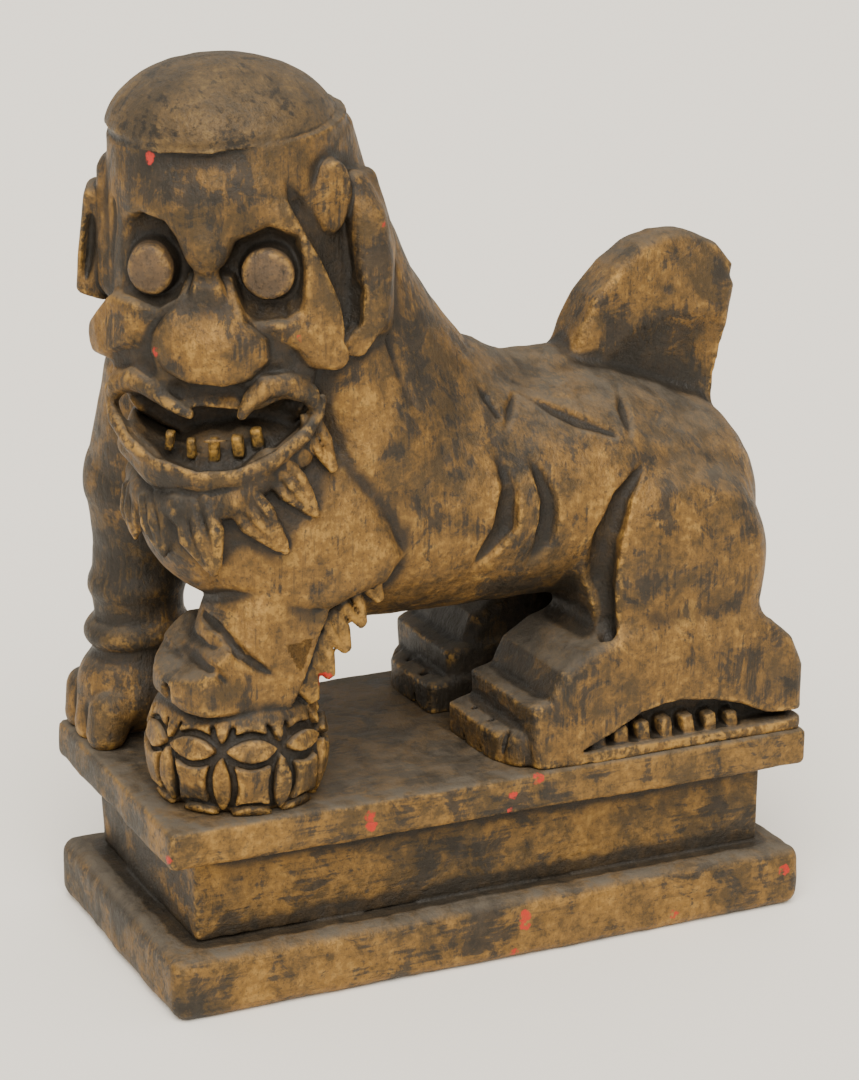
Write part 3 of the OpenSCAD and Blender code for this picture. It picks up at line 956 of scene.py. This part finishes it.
HEAD_PIECES = [head(), crown(), left_ear(), right_ear(),
               eye("left_eye", 10.4, 131.8, 4.6, 4, (10.4, -11.0, 131.8), (5.8, 3.4, 5.4)),
               eye("right_eye", -9.1, 131.9, 3.9, -6, (-9.3, -11.0, 132.2), (5.0, 3.4, 5.5)),
               nose(), upper_lip(), lower_jaw(), teeth()]
BODY_PIECES = [neck_mane(), trunk(), haunch("left_haunch", as_drawn), haunch("right_haunch", mirrored),
               hind_foot("left_hind_foot", as_drawn), hind_foot("right_hind_foot", mirrored),
               heel_fringe("left_heel_fringe", as_drawn), heel_fringe("right_heel_fringe", mirrored),
               left_shoulder(), left_foreleg(), left_forepaw(), foreleg_fringe(),
               right_foreleg(), right_forepaw(), brocade_ball(), beard(), tail()]
PLINTH_PIECES = [plinth_slab("plinth_foot", FOOT_LOW, FOOT_HIGH, 2.8),
                 plinth_slab("plinth_waist", WAIST_LOW, WAIST_HIGH, 0.9),
                 plinth_slab("plinth_top", TOP_LOW, TOP_HIGH, 1.3)]


def names(pieces):
    """The names of a list of pieces."""
    return {p.name for p in pieces}


def sculpt():
    """Carves the head finely, the body less so and the plinth least."""
    lion = BODY_PIECES + HEAD_PIECES
    grooves = [*rib_grooves(), *marks(), (crown_groove(), 0.4), (ear_hollow(), 0.8)]
    upper = Grid((-34, -69, 86), (36, -12, 168), FINE)
    whole = Grid((-34, -69, DECK - 1), (34, 67, 160), MEDIUM)
    under = Grid((-34, -67, -1), (34, 67, DECK + 1), COARSE)
    made = carve(upper, lion, grooves, names(HEAD_PIECES), 0.10, 0.25)
    made += carve(whole, lion, grooves, names(BODY_PIECES), 0.12, 0.35)
    made += carve(under, PLINTH_PIECES, [], names(PLINTH_PIECES), 0.12, 0.30)
    return made


made = sculpt()


# ---- materials

WORN_GOLD = dict(gold=(0.200, 0.106, 0.028), dull=(0.080, 0.052, 0.024), bright=(0.40, 0.225, 0.052),
                 lacquer=(0.0095, 0.0086, 0.0070), dust_tone=(0.098, 0.081, 0.060), bare=0.487, shine=0.55,
                 worn=0.9, dust=0.8, bloom=0.7, grain=(1.3, 1.3, 0.10), seed=0.0, flecks=(), zones=())


class Value:
    """A number that a node gives; arithmetic on it adds Math nodes."""

    def __init__(self, nodes, socket):
        self.nodes = nodes
        self.socket = socket

    def __add__(self, other):
        return self.nodes.math("ADD", self, other)

    def __radd__(self, other):
        return self.nodes.math("ADD", other, self)

    def __sub__(self, other):
        return self.nodes.math("SUBTRACT", self, other)

    def __rsub__(self, other):
        return self.nodes.math("SUBTRACT", other, self)

    def __mul__(self, other):
        return self.nodes.math("MULTIPLY", self, other)

    def larger(self, other):
        return self.nodes.math("MAXIMUM", self, other)

    def clamped(self):
        """The same value held between 0 and 1."""
        self.socket.node.use_clamp = True
        return self


class Nodes:
    """Short names for building a node tree."""

    def __init__(self, name):
        self.material = bpy.data.materials.new(name)
        self.material.use_nodes = True
        self.tree = self.material.node_tree
        self.shader = self.tree.nodes["Principled BSDF"]

    def node(self, kind, **settings):
        made = self.tree.nodes.new(kind)
        for key, value in settings.items():
            setattr(made, key, value)
        return made

    def link(self, value, socket):
        """Feeds a socket with a value, another socket, a colour or a plain number."""
        if isinstance(value, Value):
            value = value.socket
        if isinstance(value, bpy.types.NodeSocket):
            self.tree.links.new(value, socket)
        elif isinstance(value, tuple) and len(value) == 3 and socket.type == "RGBA":
            socket.default_value = (*value, 1)
        else:
            socket.default_value = value

    def math(self, operation, a, b):
        n = self.node("ShaderNodeMath", operation=operation)
        self.link(a, n.inputs[0])
        self.link(b, n.inputs[1])
        return Value(self, n.outputs[0])

    def step(self, value, low, high):
        """0 below low, 1 above high, smooth between; low may be the larger."""
        n = self.node("ShaderNodeMapRange", interpolation_type="SMOOTHSTEP")
        flip = low > high
        self.link(value, n.inputs[0])
        n.inputs[1].default_value, n.inputs[2].default_value = (high, low) if flip else (low, high)
        n.inputs[3].default_value, n.inputs[4].default_value = (1, 0) if flip else (0, 1)
        return Value(self, n.outputs[0])

    def near(self, where, centre, far, close):
        """1 up to the close distance from a point, 0 past the far one."""
        n = self.node("ShaderNodeVectorMath", operation="DISTANCE")
        self.link(where, n.inputs[0])
        n.inputs[1].default_value = centre
        return self.step(n.outputs["Value"], far, close)

    def mix(self, factor, a, b):
        n = self.node("ShaderNodeMix", data_type="RGBA")
        self.link(factor, n.inputs[0])
        self.link(a, n.inputs[6])
        self.link(b, n.inputs[7])
        return n.outputs[2]

    def noise(self, where, size, detail, rough, warp=0.0):
        """Noise with features about size mm across."""
        n = self.node("ShaderNodeTexNoise")
        self.link(where, n.inputs["Vector"])
        n.inputs["Scale"].default_value = 1.0 / size
        n.inputs["Detail"].default_value = detail
        n.inputs["Roughness"].default_value = rough
        n.inputs["Distortion"].default_value = warp
        return Value(self, n.outputs[0])

    def scaled(self, where, factors, shift=0.0):
        n = self.node("ShaderNodeMapping")
        self.link(where, n.inputs[0])
        n.inputs["Location"].default_value = (shift,) * 3
        n.inputs["Scale"].default_value = factors
        return n.outputs[0]

    def attribute(self, name):
        return Value(self, self.node("ShaderNodeAttribute", attribute_name=name).outputs["Fac"])

    def wobbled(self, where, amount):
        """Places shifted a little every way, so that what is drawn there gets a ragged edge."""
        source = self.node("ShaderNodeTexNoise")
        self.link(where, source.inputs["Vector"])
        source.inputs["Scale"].default_value = 0.8
        shift = self.node("ShaderNodeVectorMath", operation="SCALE")
        self.link(source.outputs["Color"], shift.inputs[0])
        shift.inputs["Scale"].default_value = amount
        total = self.node("ShaderNodeVectorMath", operation="ADD")
        self.link(where, total.inputs[0])
        self.link(shift.outputs[0], total.inputs[1])
        return total.outputs[0]


VERMILION = (0.50, 0.030, 0.020)
WOBBLE = 1.6                     # how far the edge of a fleck is thrown about, mm


def worn_gilding(name, **changes):
    """Gold leaf over dark lacquer, rubbed, chipped and dusty, with painted shade in the hollows and crevices
    and a painted highlight on the outer edges. changes are made to WORN_GOLD.
    """
    s = {**WORN_GOLD, **changes}
    t = Nodes(name)
    shift = s["seed"]
    place = t.scaled(t.node("ShaderNodeTexCoord").outputs["Object"], (1 / MM,) * 3, shift)
    edge, hollow = t.attribute("edge"), t.attribute("hollow")
    broad = t.noise(place, 13, 4, 0.55)
    patch = t.noise(place, 5.0, 8, 0.68, 0.4)
    fine = t.noise(place, 1.5, 5, 0.65)
    speck = t.noise(place, 0.6, 3, 0.6)
    streak = t.noise(t.scaled(place, s["grain"]), 1.0, 6, 0.62)
    # where the gold has kept (above 0) and where it is dark (below 0); the dark places are partly worn to
    # lacquer and partly painted shade under the belly, between the legs, round the mouth and on the shaded
    # sides
    zone = 0.0
    for x, y, z, radius, amount in s["zones"]:
        zone = zone + t.near(place, (x + shift, y + shift, z + shift), radius * 1.35, radius * 0.4) * amount
    # gold runs from dull brown to yellow in clouds broken up by fine wear
    cloud = broad * 0.45 + patch * 0.55 + (fine - 0.5) * 0.40 + zone * 0.085
    tone = t.mix(t.step(cloud, 0.40, 0.59), s["dull"], s["gold"])
    bright = t.step(cloud, 0.54, 0.66) * t.step(fine, 0.42, 0.58)
    tone = t.mix(bright * s["bloom"], tone, s["bright"])
    # lacquer shows where the leaf has gone, with more of it in the hollows and the dark zones as painted
    # shade
    bare = t.noise(place, 8.0, 8, 0.72, 0.6) * 0.72 + streak * 0.28
    bare = bare + t.step(hollow, 0.50, 0.58) * 0.08 + (fine - 0.5) * 0.20 - zone * 0.08
    bare = t.step(bare, s["bare"], s["bare"] + 0.085) * 0.88
    # rubbed bright on the outer edges, in broken touches: worn leaf and a painted highlight along the convex
    # edges
    edge_wear_and_highlight = t.step(edge, 0.455, 0.35) * t.step(fine, 0.43, 0.58) * t.step(patch, 0.38, 0.54)
    edge_wear_and_highlight = (edge_wear_and_highlight * s["worn"]).clamped()
    # painted shade, soft in the hollows and black in the crevices, together with grime speckled everywhere
    # and the bare lacquer
    crevice = t.step(edge, 0.515, 0.58)
    deep = t.step(hollow, 0.485, 0.56)
    grime_and_painted_shade = (deep * 0.90).larger(crevice * 0.95)
    grime_and_painted_shade = grime_and_painted_shade.larger(t.step(speck, 0.53, 0.68) * 0.50).larger(t.step(streak, 0.55, 0.70) * 0.45)
    grime_and_painted_shade = (grime_and_painted_shade.larger(bare) * (1.0 - edge_wear_and_highlight * 0.85)).clamped()
    tone = t.mix(edge_wear_and_highlight, tone, s["bright"])
    tone = t.mix(grime_and_painted_shade, tone, s["lacquer"])
    # dust lies on what faces up and dulls the rest
    up = t.node("ShaderNodeSeparateXYZ")
    t.link(t.node("ShaderNodeNewGeometry").outputs["Normal"], up.inputs[0])
    settled = t.step(up.outputs[2], 0.35, 0.95) * (t.step(patch, 0.34, 0.60) * 0.55 + 0.45)
    veil = t.step(patch, 0.36, 0.62) * 0.10 + t.step(fine, 0.42, 0.62) * 0.10
    dusty = settled.larger(veil) * s["dust"]
    # dust is kept out of the crevices and hollows, so the painted shade there stays dark
    dusty = (dusty * (1.0 - crevice.larger(deep) * 0.8)).clamped()
    tone = t.mix(dusty, tone, s["dust_tone"])
    # flecks of vermilion
    if s["flecks"]:
        ragged = t.wobbled(place, WOBBLE)
        middle = shift + WOBBLE / 2
        red = 0.0
        for x, y, z, radius in s["flecks"]:
            red = t.near(ragged, (x + middle, y + middle, z + middle), radius, radius - 0.4).larger(red)
        tone = t.mix(red * (t.step(fine, 0.62, 0.48) * 0.85), tone, VERMILION)
    t.link(tone, t.shader.inputs["Base Color"])
    t.shader.inputs["Specular IOR Level"].default_value = 0.28
    gleam = (1.0 - grime_and_painted_shade) * (1.0 - dusty).clamped()
    t.link(gleam * s["shine"], t.shader.inputs["Metallic"])
    t.link((fine * 0.30 + 0.34 + dusty * 0.35).clamped(), t.shader.inputs["Roughness"])
    # relief of the leaf's broken edges, tool marks and grain
    height = speck * 0.30 + fine * 0.55 + streak * 0.45 + patch * 0.6 - bare * 0.18
    bump = t.node("ShaderNodeBump")
    bump.inputs["Strength"].default_value = 0.7
    bump.inputs["Distance"].default_value = 0.0007
    t.link(height, bump.inputs["Height"])
    t.link(bump.outputs[0], t.shader.inputs["Normal"])
    return t.material


# where gold has kept (amount above 0) or gone dark (below 0), the dark ones partly worn lacquer and partly
# painted shade where shade falls: x, y, z and radius in mm, amount
BODY_GOLD_AND_SHADE = [(26, -55, 118.5, 7, 0.7), (31, -33, 118.5, 7, 0.9), (26.7, -45, 79, 10, 0.8),
              (29.4, -28, 82, 9, 0.8), (26.5, -28, 103, 8, 0.8), (27, -8, 77.6, 9, 0.7),
              (26.3, 24.7, 85, 10, 0.5), (31.8, 39.5, 56, 9, 0.4), (28.2, -46, 64, 9, 0.9),
              (-13, -56, 68, 26, -0.7), (0, 10, 60, 22, -1.0), (30, 8, 52, 9, -0.8), (3.4, 40, 103, 12, -0.9),
              (24.3, -18.4, 112.5, 10, -0.5), (-12, 8, 46, 16, -1.0), (20, -62, 90, 9, -0.8),
              (24, -52, 150, 10, -0.4), (20, -58, 128, 6, -1.0), (22, -57, 112, 6, -1.0),
              (17, -60, 144, 12, -0.4), (31, -35, 108, 6, -0.9)]
# the plinth's dark places include painted shade on its front end
PLINTH_GOLD_AND_SHADE = [(-16, -66, 20, 30, -0.7), (32, -52, 32, 9, 0.8), (32, 40, 33, 16, 0.5), (32, -44, 6, 14, 0.7),
                (32, 20, 9, 22, 0.6), (30, 0, 22, 16, -0.5), (30, 45, 22, 16, -0.5), (32, -60, 4, 7, -0.8)]
# specks of red paint: x, y, z and radius in mm
BODY_FLECKS = [(17.3, -60.7, 150.6, 1.1), (19.2, -61.2, 118.4, 1.0), (28.6, -23.4, 138.8, 0.7),
               (30.0, -39.5, 120.8, 0.7), (26.6, 3.0, 68.5, 1.0)]
FRINGE_FLECKS = [(26.4, -33.5, 58.8, 1.5)]
PLINTH_FLECKS = [(31.5, -27, 33.6, 1.2), (31.5, -26.6, 31.6, 1.2), (31.5, 1.5, 33, 1.0),
                 (31.3, 6.6, 35.4, 1.3), (32, 4.2, 8.6, 1.4), (32, 4.4, 6.8, 1.2), (32, 2.2, 1.5, 1.1),
                 (32, 36, 3, 1.1), (32, 60.5, 8, 1.3), (30, -64.6, 31.2, 1.1), (31.6, 1.0, 30.0, 0.9)]

LOOKS = {
    "body": worn_gilding("body_gilt", zones=BODY_GOLD_AND_SHADE, flecks=BODY_FLECKS),
    "plinth": worn_gilding("plinth_gilt", gold=(0.245, 0.130, 0.031), dull=(0.088, 0.056, 0.024), dust=1.0,
                           grain=(1.2, 0.09, 1.2), seed=7.0, zones=PLINTH_GOLD_AND_SHADE, flecks=PLINTH_FLECKS),
    "crown": worn_gilding("crown_lacquer", gold=(0.110, 0.068, 0.028), dull=(0.058, 0.041, 0.023),
                          bright=(0.22, 0.14, 0.05), bare=0.52, dust=0.28, bloom=0.5, grain=(0.09, 1.1, 1.1),
                          seed=13.0, shine=0.25),
    "fringe": worn_gilding("fringe_gilt", gold=(0.26, 0.145, 0.040), bare=0.53, dust=0.3, seed=19.0,
                           flecks=FRINGE_FLECKS),
    "eyes": worn_gilding("eye_gilt", gold=(0.125, 0.075, 0.036), dull=(0.080, 0.053, 0.031), bare=0.55,
                         dust=0.3, bloom=0.2, worn=0.5, seed=23.0, shine=0.2),
    "teeth": worn_gilding("tooth_gilt", gold=(0.25, 0.15, 0.04), bare=0.53, dust=0.2, seed=29.0),
}
SLOT_LOOK = {"body_gilt": "body", "plinth_gilt": "plinth", "crown_lacquer": "crown", "fringe_gilt": "fringe"}
PIECE_LOOK = {"left_eye": "eyes", "right_eye": "eyes", "teeth": "teeth", "left_heel_fringe": "body",
              "right_heel_fringe": "body"}


def look(piece):
    """The material a piece wears."""
    return LOOKS[PIECE_LOOK[piece.name] if piece.name in PIECE_LOOK else SLOT_LOOK[piece.slot]]


for piece, ob in made:
    ob.data.materials.append(look(piece))
    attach(ob, "root")
    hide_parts(piece.name)


# ---- floor, light and camera

def floor():
    """The plain pale ground."""
    mesh = bpy.data.meshes.new("floor")
    far = 3.0
    mesh.from_pydata([(-far, -far, 0), (far, -far, 0), (far, far, 0), (-far, far, 0)], [], [(0, 1, 2, 3)])
    ob = bpy.data.objects.new("floor", mesh)
    bpy.context.scene.collection.objects.link(ob)
    paper = Nodes("floor")
    paper.link((0.95, 0.91, 0.84), paper.shader.inputs["Base Color"])
    paper.link(0.8, paper.shader.inputs["Roughness"])
    ob.data.materials.append(paper.material)


def studio():
    """One broad soft key and a warm surrounding light."""
    sun = bpy.data.lights.new("key", "SUN")
    sun.energy = 4.6
    sun.angle = math.radians(50)
    sun.color = (1.0, 0.965, 0.90)
    ob = bpy.data.objects.new("key", sun)
    ob.rotation_euler = Vector((-0.62, 0.30, -0.80)).to_track_quat("-Z", "Y").to_euler()
    bpy.context.scene.collection.objects.link(ob)
    world = bpy.data.worlds.new("studio")
    world.use_nodes = True
    background = world.node_tree.nodes["Background"]
    background.inputs["Color"].default_value = (1.0, 0.95, 0.86, 1)
    background.inputs["Strength"].default_value = 0.85
    bpy.context.scene.world = world


def camera():
    """The view of the photograph, fitted to the plinth's corners."""
    around = math.radians(64.485)
    above = math.radians(17.814)
    roll = math.radians(0.632)
    away = 0.526
    target = Vector((0, 0, 0.064))
    level = math.cos(above)
    back = Vector((math.sin(around) * level, -math.cos(around) * level, math.sin(above)))
    data = bpy.data.cameras.new("camera")
    data.sensor_width = 36
    data.lens = 93.3
    data.shift_x = -0.0036
    data.shift_y = 0.0417
    ob = bpy.data.objects.new("camera", data)
    ob.location = target + back * away
    turn = back.to_track_quat("Z", "Y").to_matrix().to_3x3()
    spin = turn @ Matrix.Rotation(roll, 3, "Z")
    ob.rotation_euler = spin.to_euler()
    bpy.context.scene.collection.objects.link(ob)
    bpy.context.scene.camera = ob


floor()
studio()
camera()
